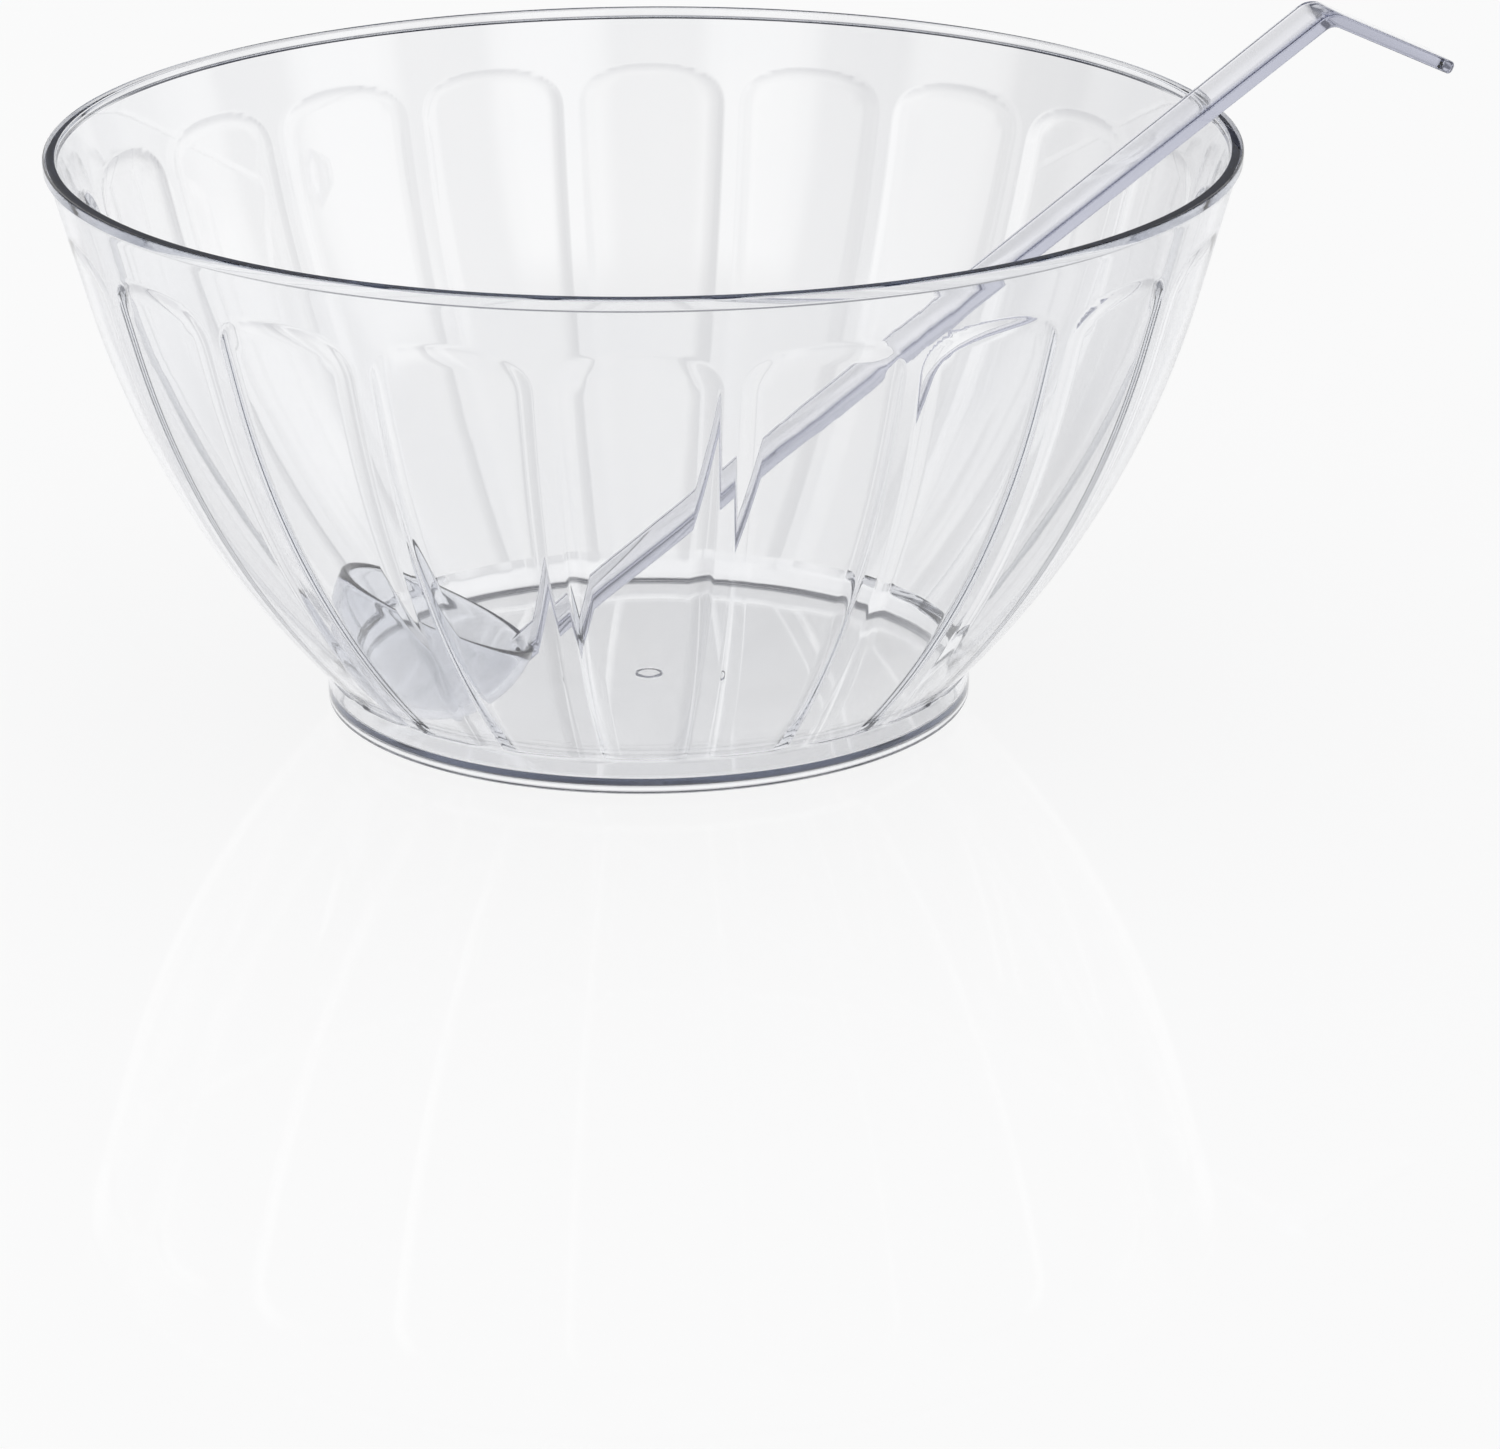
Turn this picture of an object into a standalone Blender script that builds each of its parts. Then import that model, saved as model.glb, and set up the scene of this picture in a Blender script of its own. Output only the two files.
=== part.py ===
"""A clear moulded punch bowl with its serving ladle lying in it.

Metres, +Z up. The bowl stands on z = 0, and the origin is the middle of the footprint of bowl and ladle.
"""

import math

import bmesh
import bpy
from mathutils import Vector

# Bowl, overall
RIM_RADIUS = 0.1525
BOWL_HEIGHT = 0.1470

# Foot ring and floor
FOOT_RADIUS = 0.0840
FOOT_HEIGHT = 0.0095
FOOT_WIDTH = 0.0035
FOOT_ROUND = 0.0007
FLOOR_HEIGHT = 0.0034
FLOOR_WALL = 0.0016
FLOOR_FILLET = 0.0012
GATE_RADIUS = 0.0035
GATE_BEVEL = 0.0009
GATE_RISE = 0.0006

# Side wall: an arc from the foot that runs into a straight, leaning upper stretch
WALL_LEAN = math.radians(15.5)
WALL_STRAIGHT_FROM = 0.1110
PANEL_WALL = 0.0022

# Rim bead
BEAD_HEIGHT = 0.0030
BEAD_STEP = 0.0010
BEAD_ROUND = 0.0006
BEAD_LIP = 0.0005
BEAD_EDGE = 0.0007

# Flutes: arched panels sunk into the inner face, with ribs left between them that run out inside the foot
FLUTES = 20
FLUTE_TURN = math.radians(-0.9)
RIB_WIDTH = 0.0036
RIB_FLANK = 0.0040
RIB_RISE = 0.0007
RIB_RUNOUT = 0.0015
ARCH_DROP = 0.0148
ARCH_RISE = 0.0125
ARCH_POWER = 2.5
CROWN_HALF = 0.0003

# Ladle cup
CUP_RADIUS = 0.0268
CUP_WALL = 0.0023
CUP_LIP = 0.0004

# Ladle handle: a flat bar that widens from the cup to a bent hook
HANDLE_PAST_RIM = 0.0391
HANDLE_RISE = math.radians(60.0)
HANDLE_THICKNESS = 0.0034
HANDLE_ROOT_WIDTH = 0.0125
HANDLE_TOP_WIDTH = 0.0175
HANDLE_EDGE = 0.0007
BEND_RADIUS = 0.0055
HOOK_LENGTH = 0.0380
HOOK_TIP_ROUND = 0.0015
ROOT_OVERLAP = 0.0030
ROOT_ROUND = 0.0024
PIP_RADIUS = 0.0013
PIP_RISE = 0.0005
PIP_HEIGHT = 0.0024
PIP_TOP_SHARE = 0.75
PIP_SIDE_SHARE = 0.6

# How the ladle lies in the bowl: cup on the floor and against the wall, handle on the rim
LADLE_AZIMUTH = math.radians(15.8)
LADLE_OFFSET = -0.0146
SEAT_GAP = 0.00035

# Mesh fineness, with the places of rows as shares of the stretch they divide
COLUMNS = 6
SIDE_ROWS = 6
CROWN_ROWS = (0.45, 1.0)
ARCH_ROWS = (0.88, 0.64, 0.34)
FLOOR_ROW = 0.5
CUP_SEGMENTS = 40
CUP_ROWS = 8
ROOT_ROWS = (0.35, 0.75, 1.0)
BEND_ROWS = 5
TIP_TURNS = (0.0, 45.0, 80.0)
TIP_EDGE_SHARE = 0.45
PIP_SEGMENTS = 12
SHARP_ANGLE = math.radians(40.0)


def arc(centre, radius, start, end, steps):
    """Points on an arc from angle start to angle end, in degrees from the outward direction."""
    points = []
    for i in range(steps + 1):
        angle = math.radians(start + (end - start) * i / steps)
        points.append((centre[0] + radius * math.cos(angle), centre[1] + radius * math.sin(angle)))
    return points


# Bowl: construction of the turned wall

WALL_TOP = (RIM_RADIUS - BEAD_STEP, BOWL_HEIGHT - BEAD_HEIGHT)
WALL_FOOT = (FOOT_RADIUS, FOOT_HEIGHT)
FOOT_BORE = FOOT_RADIUS - FOOT_WIDTH


def wall_arc():
    """Centre and radius of the outer arc that starts at the foot and is tangent to the straight stretch."""
    tangent_r = WALL_TOP[0] - (WALL_TOP[1] - WALL_STRAIGHT_FROM) * math.tan(WALL_LEAN)
    inward = (-math.cos(WALL_LEAN), math.sin(WALL_LEAN))
    chord = (WALL_FOOT[0] - tangent_r, WALL_FOOT[1] - WALL_STRAIGHT_FROM)
    along = chord[0] * inward[0] + chord[1] * inward[1]
    radius = (chord[0] ** 2 + chord[1] ** 2) / (2.0 * along)
    centre = (tangent_r + radius * inward[0], WALL_STRAIGHT_FROM + radius * inward[1])
    return centre, radius


ARC_CENTRE, ARC_RADIUS = wall_arc()


def wall_point(height, inset):
    """Point of the wall's section at this height of the outer face, moved inwards by inset."""
    if height >= WALL_STRAIGHT_FROM:
        lean = WALL_LEAN
        outer_r = WALL_TOP[0] - (WALL_TOP[1] - height) * math.tan(WALL_LEAN)
    else:
        lean = math.asin((ARC_CENTRE[1] - height) / ARC_RADIUS)
        outer_r = ARC_CENTRE[0] + ARC_RADIUS * math.cos(lean)
    return outer_r - inset * math.cos(lean), height + inset * math.sin(lean)


def flute_foot():
    """Height of the outer face, its arc carried on downwards, where the panels reach the foot's bore."""
    lean = math.acos((FOOT_BORE - ARC_CENTRE[0]) / (ARC_RADIUS - PANEL_WALL))
    return ARC_CENTRE[1] - ARC_RADIUS * math.sin(lean)


def lip_centre():
    """Centre of the rim's inner round, which is tangent to the flat top and to the leaning inner face."""
    z = BOWL_HEIGHT - BEAD_LIP
    outer_r = WALL_TOP[0] + (z - WALL_TOP[1]) * math.tan(WALL_LEAN)
    return outer_r - (PANEL_WALL + RIB_RISE - BEAD_LIP) / math.cos(WALL_LEAN), z


FLUTES_FROM = flute_foot()
LIP_CENTRE = lip_centre()


# Bowl: rings of points, six to each flute, starting at the middle of a rib

def plain_ring(radius, height):
    """A ring with evenly spaced points, as on every turned face."""
    ring = []
    for i in range(FLUTES * COLUMNS):
        angle = FLUTE_TURN + 2.0 * math.pi * (i / COLUMNS - 0.5) / FLUTES
        ring.append((radius * math.cos(angle), radius * math.sin(angle), height))
    return ring


def fluted_ring(height, half_top, half_foot, panel_rise, rib_rise):
    """A ring on the inner face, with a panel's half widths at the rib tops and in the sunk face."""
    middle_r = wall_point(height, PANEL_WALL)[0]
    columns = (
        (-math.pi * middle_r / FLUTES, rib_rise),
        (-half_top, rib_rise),
        (-half_foot, panel_rise),
        (0.0, panel_rise),
        (half_foot, panel_rise),
        (half_top, rib_rise),
    )
    ring = []
    for flute in range(FLUTES):
        for side, rise in columns:
            angle = FLUTE_TURN + 2.0 * math.pi * flute / FLUTES + side / middle_r
            r, z = wall_point(height, PANEL_WALL + rise)
            ring.append((r * math.cos(angle), r * math.sin(angle), z))
    return ring


ARCH_TOP = BOWL_HEIGHT - ARCH_DROP
ARCH_SPRING = ARCH_TOP - ARCH_RISE


def panel_half(height):
    """Half width of a panel between the tops of its two ribs."""
    pitch = 2.0 * math.pi * wall_point(height, PANEL_WALL)[0] / FLUTES
    return (pitch - RIB_WIDTH) / 2.0


def arch_share(height, rise):
    """Share of the full width that an arch of this rise still has at this height."""
    return max(0.0, 1.0 - ((height - ARCH_SPRING) / rise) ** ARCH_POWER) ** (1.0 / ARCH_POWER)


def flute_rings():
    """Rings of the fluted face from the arches down to the foot's bore."""
    rings = [plain_ring(*wall_point(ARCH_TOP, PANEL_WALL + RIB_RISE))]
    foot_rise = ARCH_RISE - RIB_FLANK
    for sunk in CROWN_ROWS:
        height = ARCH_TOP - sunk * RIB_FLANK
        half_top = panel_half(height) * arch_share(height, ARCH_RISE)
        rings.append(fluted_ring(height, half_top, CROWN_HALF, RIB_RISE * (1.0 - sunk), RIB_RISE))
    for share in ARCH_ROWS:
        height = ARCH_SPRING + foot_rise * share
        half_top = panel_half(height) * arch_share(height, ARCH_RISE)
        half_foot = (panel_half(height) - RIB_FLANK) * arch_share(height, foot_rise)
        rings.append(fluted_ring(height, half_top, half_foot, 0.0, RIB_RISE))
    for row in range(SIDE_ROWS + 1):
        height = ARCH_SPRING + (FLUTES_FROM - ARCH_SPRING) * row / SIDE_ROWS
        half = panel_half(height)
        rings.append(fluted_ring(height, half, half - RIB_FLANK, 0.0, RIB_RISE))
    return rings


def bowl_rings():
    """All rings of the bowl, from under its floor, up and over the rim and back to the floor's middle."""
    under = FLOOR_HEIGHT - FLOOR_WALL
    bead_bottom = BOWL_HEIGHT - BEAD_HEIGHT
    outline = [(FOOT_BORE * FLOOR_ROW, under), (FOOT_BORE, under)]
    outline += arc((FOOT_BORE + FOOT_ROUND, FOOT_ROUND), FOOT_ROUND, 180, 270, 1)
    outline += arc((FOOT_RADIUS - FOOT_ROUND, FOOT_ROUND), FOOT_ROUND, 270, 360, 2)
    for row in range(SIDE_ROWS + 1):
        outline.append(wall_point(FOOT_HEIGHT + (WALL_STRAIGHT_FROM - FOOT_HEIGHT) * row / SIDE_ROWS, 0.0))
    outline.append(WALL_TOP)
    outline += arc((RIM_RADIUS - BEAD_EDGE, bead_bottom + BEAD_EDGE), BEAD_EDGE, -60, 0, 2)
    outline += arc((RIM_RADIUS - BEAD_ROUND, BOWL_HEIGHT - BEAD_ROUND), BEAD_ROUND, 0, 90, 3)
    outline += arc(LIP_CENTRE, BEAD_LIP, 90, 180 - math.degrees(WALL_LEAN), 2)
    floor_r = FOOT_BORE - FLOOR_FILLET
    floor = [(FOOT_BORE, wall_point(FLUTES_FROM, PANEL_WALL)[1] - RIB_RUNOUT)]
    floor += arc((floor_r, FLOOR_HEIGHT + FLOOR_FILLET), FLOOR_FILLET, 0, -90, 3)
    floor.append((floor_r * FLOOR_ROW, FLOOR_HEIGHT))
    floor.append((GATE_RADIUS, FLOOR_HEIGHT))
    floor.append((GATE_RADIUS - GATE_BEVEL, FLOOR_HEIGHT + GATE_RISE))
    rings = [[(0.0, 0.0, under)]]
    rings += [plain_ring(r, z) for r, z in outline]
    rings += flute_rings()
    rings += [plain_ring(r, z) for r, z in floor]
    rings.append([(0.0, 0.0, FLOOR_HEIGHT + GATE_RISE)])
    return rings


# Ladle: pose at rest, and the length of handle that reaches the rim from there

ROOT_REACH = CUP_RADIUS - CUP_WALL / 2.0


def ladle_pose():
    """Cup centre seen from the bowl's axis, tilt that lays the handle on the rim, and its length to there."""
    height = FLOOR_HEIGHT + SEAT_GAP + CUP_RADIUS
    clear = ARC_RADIUS - PANEL_WALL - RIB_RISE - SEAT_GAP - CUP_RADIUS
    radius = ARC_CENTRE[0] + math.sqrt(clear ** 2 - (ARC_CENTRE[1] - height) ** 2)
    along = -math.sqrt(radius ** 2 - LADLE_OFFSET ** 2)
    # The rim's inner round, where the near edge of the bar crosses it
    edge = abs(LADLE_OFFSET) + HANDLE_TOP_WIDTH / 2.0
    run = math.sqrt(LIP_CENTRE[0] ** 2 - edge ** 2) - along
    climb = LIP_CENTRE[1] - height
    underside = -ROOT_REACH * math.sin(HANDLE_RISE) - HANDLE_THICKNESS / 2.0
    reach = underside - BEAD_LIP - SEAT_GAP
    span = math.hypot(run, climb)
    slope = math.acos(reach / span) - math.atan2(run, climb)
    to_rim = math.sqrt(span ** 2 - reach ** 2) - ROOT_REACH * math.cos(HANDLE_RISE)
    return along, height, HANDLE_RISE - slope, to_rim


CUP_ALONG, CUP_HEIGHT, LADLE_TILT, HANDLE_TO_RIM = ladle_pose()
HANDLE_LENGTH = HANDLE_TO_RIM + HANDLE_PAST_RIM


def hook_reach():
    """How far the hook's tip reaches from the bowl's axis along X."""
    tip_x = ROOT_REACH + HANDLE_LENGTH * math.cos(HANDLE_RISE) + HOOK_LENGTH
    tip_z = HANDLE_LENGTH * math.sin(HANDLE_RISE)
    out = CUP_ALONG + tip_x * math.cos(LADLE_TILT) + tip_z * math.sin(LADLE_TILT)
    side = HANDLE_TOP_WIDTH / 2.0 - LADLE_OFFSET - HANDLE_EDGE
    return out * math.cos(LADLE_AZIMUTH) + side * math.sin(LADLE_AZIMUTH)


# Ladle: construction in its own frame, with the cup's centre at the origin and its mouth level

def cup_rings():
    """Rings of the round cup, from the bottom of its outside over the lip to the bottom of its inside."""
    inner = CUP_RADIUS - CUP_WALL
    outline = arc((0.0, 0.0), CUP_RADIUS, -90, 0, CUP_ROWS)[1:]
    outline += arc((CUP_RADIUS - CUP_LIP, CUP_LIP), CUP_LIP, 30, 90, 2)
    outline += arc((inner + CUP_LIP, CUP_LIP), CUP_LIP, 90, 150, 2)
    outline += arc((0.0, 0.0), inner, 0, -90, CUP_ROWS)[:-1]
    rings = [[(0.0, 0.0, -CUP_RADIUS)]]
    for r, z in outline:
        ring = []
        for i in range(CUP_SEGMENTS):
            angle = 2.0 * math.pi * i / CUP_SEGMENTS
            ring.append((r * math.cos(angle), r * math.sin(angle), z))
        rings.append(ring)
    rings.append([(0.0, 0.0, -inner)])
    return rings


def bar_section(width, thickness, edge):
    """Outline of the flat bar across its length, as (sideways, upwards) points with rounded edges."""
    side = width / 2.0 - edge
    up = thickness / 2.0 - edge
    outline = []
    for corner_x, corner_y, start in ((side, -up, -90), (side, up, 0), (-side, up, 90), (-side, -up, 180)):
        outline += arc((corner_x, corner_y), edge, start, start + 90, 2)
    return outline


def handle_width(along):
    """Width of the bar at this distance from the cup."""
    share = min(1.0, max(0.0, along / HANDLE_LENGTH))
    return HANDLE_ROOT_WIDTH + (HANDLE_TOP_WIDTH - HANDLE_ROOT_WIDTH) * share


def bar_ring(x, z, slope, width, thickness):
    """One ring of the bar round the point (x, z), where the bar runs at this slope."""
    edge = min(HANDLE_EDGE, thickness * TIP_EDGE_SHARE)
    ring = []
    for sideways, upwards in bar_section(width, thickness, edge):
        ring.append((x - upwards * math.sin(slope), sideways, z + upwards * math.cos(slope)))
    return ring


def handle_rings():
    """Rings of the handle from the root inside the cup, round the bend to the hook's tip."""
    rise = (math.cos(HANDLE_RISE), math.sin(HANDLE_RISE))
    trim = BEND_RADIUS * math.tan(HANDLE_RISE / 2.0)
    corner = (ROOT_REACH + HANDLE_LENGTH * rise[0], HANDLE_LENGTH * rise[1])
    rings = []
    # The root is rounded in plan, so the first rings widen along a quarter circle
    for share in ROOT_ROWS:
        along = ROOT_ROUND * (1.0 - math.sqrt(1.0 - share ** 2)) - ROOT_OVERLAP
        point = (ROOT_REACH + along * rise[0], along * rise[1])
        rings.append(bar_ring(*point, HANDLE_RISE, HANDLE_ROOT_WIDTH * share, HANDLE_THICKNESS))
    for row in range(1, SIDE_ROWS + 1):
        along = (HANDLE_LENGTH - trim) * row / SIDE_ROWS
        point = (ROOT_REACH + along * rise[0], along * rise[1])
        rings.append(bar_ring(*point, HANDLE_RISE, handle_width(along), HANDLE_THICKNESS))
    bend = (corner[0] + trim, corner[1] - BEND_RADIUS)
    for step in range(1, BEND_ROWS + 1):
        slope = HANDLE_RISE * (1.0 - step / BEND_ROWS)
        point = (bend[0] - BEND_RADIUS * math.sin(slope), bend[1] + BEND_RADIUS * math.cos(slope))
        rings.append(bar_ring(*point, slope, HANDLE_TOP_WIDTH, HANDLE_THICKNESS))
    for turn in TIP_TURNS:
        angle = math.radians(turn)
        reach = corner[0] + HOOK_LENGTH - HOOK_TIP_ROUND * (1.0 - math.sin(angle))
        less = 2.0 * HOOK_TIP_ROUND * (1.0 - math.cos(angle))
        ring = bar_ring(reach, corner[1], 0.0, HANDLE_TOP_WIDTH - less, HANDLE_THICKNESS - less)
        rings.append(ring)
    return rings


# Objects

def clear_plastic(name):
    """Water-clear moulded plastic with a faint cool tint."""
    material = bpy.data.materials.new(name)
    material.use_nodes = True
    shader = material.node_tree.nodes["Principled BSDF"]
    shader.inputs["Base Color"].default_value = (0.94, 0.95, 0.97, 1.0)
    shader.inputs["Roughness"].default_value = 0.04
    shader.inputs["Metallic"].default_value = 0.0
    shader.inputs["IOR"].default_value = 1.57
    shader.inputs["Transmission Weight"].default_value = 1.0
    return material


def skin(bm, rings):
    """Faces between each ring and the next, closed at both ends by a point or a flat face."""
    rows = [[bm.verts.new(point) for point in ring] for ring in rings]
    for low, high in zip(rows, rows[1:]):
        count = max(len(low), len(high))
        for i in range(count):
            j = (i + 1) % count
            if len(low) == 1:
                bm.faces.new((low[0], high[j], high[i]))
            elif len(high) == 1:
                bm.faces.new((low[i], low[j], high[0]))
            else:
                bm.faces.new((low[i], low[j], high[j], high[i]))
    if len(rows[0]) > 1:
        bm.faces.new(reversed(rows[0]))
    if len(rows[-1]) > 1:
        bm.faces.new(rows[-1])


def new_object(name, rings, material):
    """A smooth-shaded mesh object skinned over the rings."""
    mesh = bpy.data.meshes.new(name)
    bm = bmesh.new()
    skin(bm, rings)
    bm.to_mesh(mesh)
    bm.free()
    mesh.materials.append(material)
    mesh.shade_smooth()
    mesh.set_sharp_from_angle(angle=SHARP_ANGLE)
    made = bpy.data.objects.new(name, mesh)
    bpy.context.scene.collection.objects.link(made)
    return made


def pip_rings():
    """Rings of the round gate mark on the near side of the handle's root."""
    side = -HANDLE_ROOT_WIDTH / 2.0
    centre = (ROOT_REACH + PIP_HEIGHT * math.cos(HANDLE_RISE), PIP_HEIGHT)
    rings = []
    for share, proud in ((1.0, -PIP_RISE), (1.0, PIP_RISE * PIP_SIDE_SHARE), (PIP_TOP_SHARE, PIP_RISE)):
        ring = []
        for i in range(PIP_SEGMENTS):
            angle = 2.0 * math.pi * i / PIP_SEGMENTS
            x = centre[0] + PIP_RADIUS * share * math.cos(angle)
            z = centre[1] + PIP_RADIUS * share * math.sin(angle)
            ring.append((x, side - proud, z))
        rings.append(ring)
    return rings


def join_to(target, piece):
    """Fuses a moulded-on shape into its carrier and hides the helper."""
    piece.hide_render = True
    piece.display_type = "WIRE"
    piece.parent = target
    union = target.modifiers.new("join " + piece.name, "BOOLEAN")
    union.operation = "UNION"
    union.object = piece


def clear_scene():
    for old in list(bpy.data.objects):
        bpy.data.objects.remove(old, do_unlink=True)


def build():
    clear_scene()
    axis_x = (RIM_RADIUS - hook_reach()) / 2.0
    bowl = new_object("bowl", bowl_rings(), clear_plastic("bowl clear"))
    bowl.location = (axis_x, 0.0, 0.0)
    ladle = new_object("ladle", cup_rings(), clear_plastic("ladle clear"))
    join_to(ladle, new_object("ladle_bar", handle_rings(), ladle.data.materials[0]))
    join_to(ladle, new_object("ladle_pip", pip_rings(), ladle.data.materials[0]))
    heading = Vector((math.cos(LADLE_AZIMUTH), math.sin(LADLE_AZIMUTH), 0.0))
    beside = Vector((-heading.y, heading.x, 0.0))
    ladle.location = Vector((axis_x, 0.0, CUP_HEIGHT)) + heading * CUP_ALONG + beside * LADLE_OFFSET
    ladle.rotation_euler = (0.0, LADLE_TILT, LADLE_AZIMUTH)


build()
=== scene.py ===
"""Looks of the clear moulded punch bowl and its ladle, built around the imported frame."""

import math

import bpy
import numpy as np
from mathutils import Euler, Matrix, Vector


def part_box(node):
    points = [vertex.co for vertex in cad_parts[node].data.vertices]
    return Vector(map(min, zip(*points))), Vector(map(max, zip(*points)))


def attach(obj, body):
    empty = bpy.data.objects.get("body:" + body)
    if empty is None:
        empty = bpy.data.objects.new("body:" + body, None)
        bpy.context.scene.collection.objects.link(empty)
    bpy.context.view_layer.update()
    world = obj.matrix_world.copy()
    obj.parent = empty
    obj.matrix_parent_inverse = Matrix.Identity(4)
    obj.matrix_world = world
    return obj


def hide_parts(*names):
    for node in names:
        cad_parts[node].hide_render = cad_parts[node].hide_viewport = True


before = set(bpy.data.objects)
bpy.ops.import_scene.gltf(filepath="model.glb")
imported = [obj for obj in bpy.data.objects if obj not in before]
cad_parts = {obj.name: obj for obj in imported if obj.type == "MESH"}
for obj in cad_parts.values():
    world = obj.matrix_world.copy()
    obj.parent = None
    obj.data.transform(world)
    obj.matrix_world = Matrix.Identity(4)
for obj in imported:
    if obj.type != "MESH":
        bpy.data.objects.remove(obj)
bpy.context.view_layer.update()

# Bowl, as in the solid model but for the fillet round the floor
RIM_RADIUS = 0.1525
BOWL_HEIGHT = 0.1470
FOOT_RADIUS = 0.0840
FOOT_HEIGHT = 0.0095
FOOT_WIDTH = 0.0035
FOOT_ROUND = 0.0007
UNDER_FILLET = 0.0008
FLOOR_HEIGHT = 0.0034
FLOOR_WALL = 0.0016
FLOOR_FILLET = 0.0006
GATE_RADIUS = 0.0035
GATE_RISE = 0.0006
WALL_LEAN = math.radians(15.5)
WALL_STRAIGHT_FROM = 0.1110
PANEL_WALL = 0.0022
BEAD_HEIGHT = 0.0030
BEAD_STEP = 0.0010
BEAD_ROUND = 0.0006
BEAD_LIP = 0.0005
BEAD_EDGE = 0.0007
BEAD_EDGE_FROM = -70

# Flutes: flat ribs with a tight shoulder, and a wide cove that runs out into the panel
FLUTES = 20
FLUTE_TURN = math.radians(-0.9)
RIB_WIDTH = 0.0033
SHOULDER = 0.0011
COVE = 0.0050
RIB_RISE = 0.0007
RIB_RUNOUT = 0.0015
ARCH_DROP = 0.0144
ARCH_RISE = 0.0129
ARCH_POWER = 2.5

# Ladle, as in the solid model but for the rounder lip of the cup
CUP_RADIUS = 0.0268
CUP_WALL = 0.0023
CUP_LIP = 0.0011
CUP_BOTTOM = -89
HANDLE_PAST_RIM = 0.0391
HANDLE_RISE = math.radians(60.0)
HANDLE_THICKNESS = 0.0034
HANDLE_ROOT_WIDTH = 0.0125
HANDLE_TOP_WIDTH = 0.0175
HANDLE_EDGE = 0.0007
HANDLE_EDGE_SHARE = 0.45
BEND_RADIUS = 0.0055
HOOK_LENGTH = 0.0380
HOOK_TIP_ROUND = 0.0015
HOOK_TIP_TURNS = (-10.0, 84.0)
ROOT_OVERLAP = 0.0030
ROOT_ROUND = 0.0024
PIP_RADIUS = 0.0013
PIP_RISE = 0.0005
PIP_HEIGHT = 0.0024
LADLE_AZIMUTH = math.radians(15.8)
LADLE_OFFSET = -0.0146
SEAT_GAP = 0.00035

# Fineness of the meshes: counts, places of rings as shares of a width, and sharpest smooth edges
WALL_RINGS = 30
BAND_RINGS = 4
ARCH_RINGS = 30
SIDE_RINGS = 32
RING_GAP = 0.0004
RUNOUT_STEP = 0.0005
NORMAL_STEP = 2.0e-5
UNDER_SHARES = (0.02, 0.25, 0.5, 0.75, 0.94)
FLOOR_SHARES = (0.99, 0.75, 0.5, 0.25)
PANEL_COLUMNS = (0.0, 0.25, 0.5, 0.75)
FLANK_COLUMNS = (0.0, 0.24, 0.44, 0.6, 0.73, 0.82, 0.88, 0.92, 0.96, 1.0)
CUP_SEGMENTS = 144
CUP_ROWS = 36
CUP_LIP_ROWS = 6
ROOT_SHARES = (0.3, 0.5, 0.7, 0.85, 0.95, 1.0)
HANDLE_RINGS = 40
BEND_RINGS = 14
TIP_RINGS = 8
PIP_SIDES = 32
BOWL_SHARP = math.radians(38.0)
LADLE_SHARP = math.radians(35.0)

# Clear plastic: wavy surface, streaks, and tints that deepen with the way through the wall
WHITE = (1.0, 1.0, 1.0, 1.0)
PLASTIC_IOR = 1.58
WAVE_SCALE = 70.0
WAVE_DETAIL = 1.0
WAVE_DEPTH = 0.000008
STREAK_SCALE = 24.0
STREAK_DETAIL = 3.0
STREAK_SPAN = (0.3, 0.7)
STREAK_TINT = (0.985, 0.987, 0.992, 1.0)
GLOSS_SPAN = (0.0, 0.03)
BOWL_TINT = (0.22, 0.27, 0.40, 1.0)
BOWL_DENSITY = 17.0
LADLE_TINT = (0.26, 0.29, 0.48, 1.0)
LADLE_DENSITY = 46.0
# Painted shade: the ladle's cup gets a greyer base colour than its handle, and it is also rougher there
CUP_PAINTED_SHADE_TINT = (0.93, 0.94, 0.955, 1.0)
HAZE_ROUGHNESS = 0.03
SHADE_AND_HAZE_FULL = 1.02
SHADE_AND_HAZE_GONE = 1.25

# Stage: floor, and light by height from straight down at 0 over the horizon at 0.5 to straight up at 1
FLOOR_RADIUS = 4.0
FLOOR_SIDES = 96
FLOOR_GAP = 0.0003
FLOOR_SHADE = 0.08
FLOOR_GLOSS = 0.05
FLOOR_ROUGHNESS = 0.03
SURROUND = (
    (0.00, (1.00, 1.00, 1.00)),
    (0.415, (1.00, 1.00, 1.00)),
    (0.455, (0.82, 0.82, 0.83)),
    (0.50, (0.76, 0.76, 0.78)),
    (0.54, (0.62, 0.63, 0.65)),
    (0.62, (0.12, 0.125, 0.15)),
    (1.00, (0.02, 0.023, 0.04)),
)
WINDOW_BAND = (
    (0.53, (0.0, 0.0, 0.0)),
    (0.58, (1.0, 1.0, 1.0)),
    (0.74, (1.0, 1.0, 1.0)),
    (0.80, (0.0, 0.0, 0.0)),
)

# Stage: rise and fall of the light round the horizon, along a wave from 0 to 1
WINDOWS = 8.0
WINDOW_TURN = math.radians(-31.25)
SURROUND_SHARE = (
    (0.00, (1.00, 1.00, 1.00)),
    (0.50, (0.98, 0.98, 0.98)),
    (0.95, (0.84, 0.84, 0.845)),
    (1.00, (0.83, 0.83, 0.835)),
)
WINDOW_LIGHT = (
    (0.25, (0.22, 0.225, 0.25)),
    (0.60, (0.80, 0.80, 0.81)),
    (0.80, (0.95, 0.95, 0.95)),
    (1.00, (0.97, 0.97, 0.97)),
)

# Camera, as in the photographed view
FRAME_WIDTH = 1500.0
FRAME_HEIGHT = 1449.0
FOCAL_PIXELS = 6190.8
SENSOR = 36.0
CLIP_START = 0.01
CAMERA_DISTANCE = 1.6049
CAMERA_ELEVATION = math.radians(16.74)
PIVOT_HEIGHT = 0.0686
PIVOT_PIXEL = (649.4, 433.7)
CAMERA_ROLL = -0.0090

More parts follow.
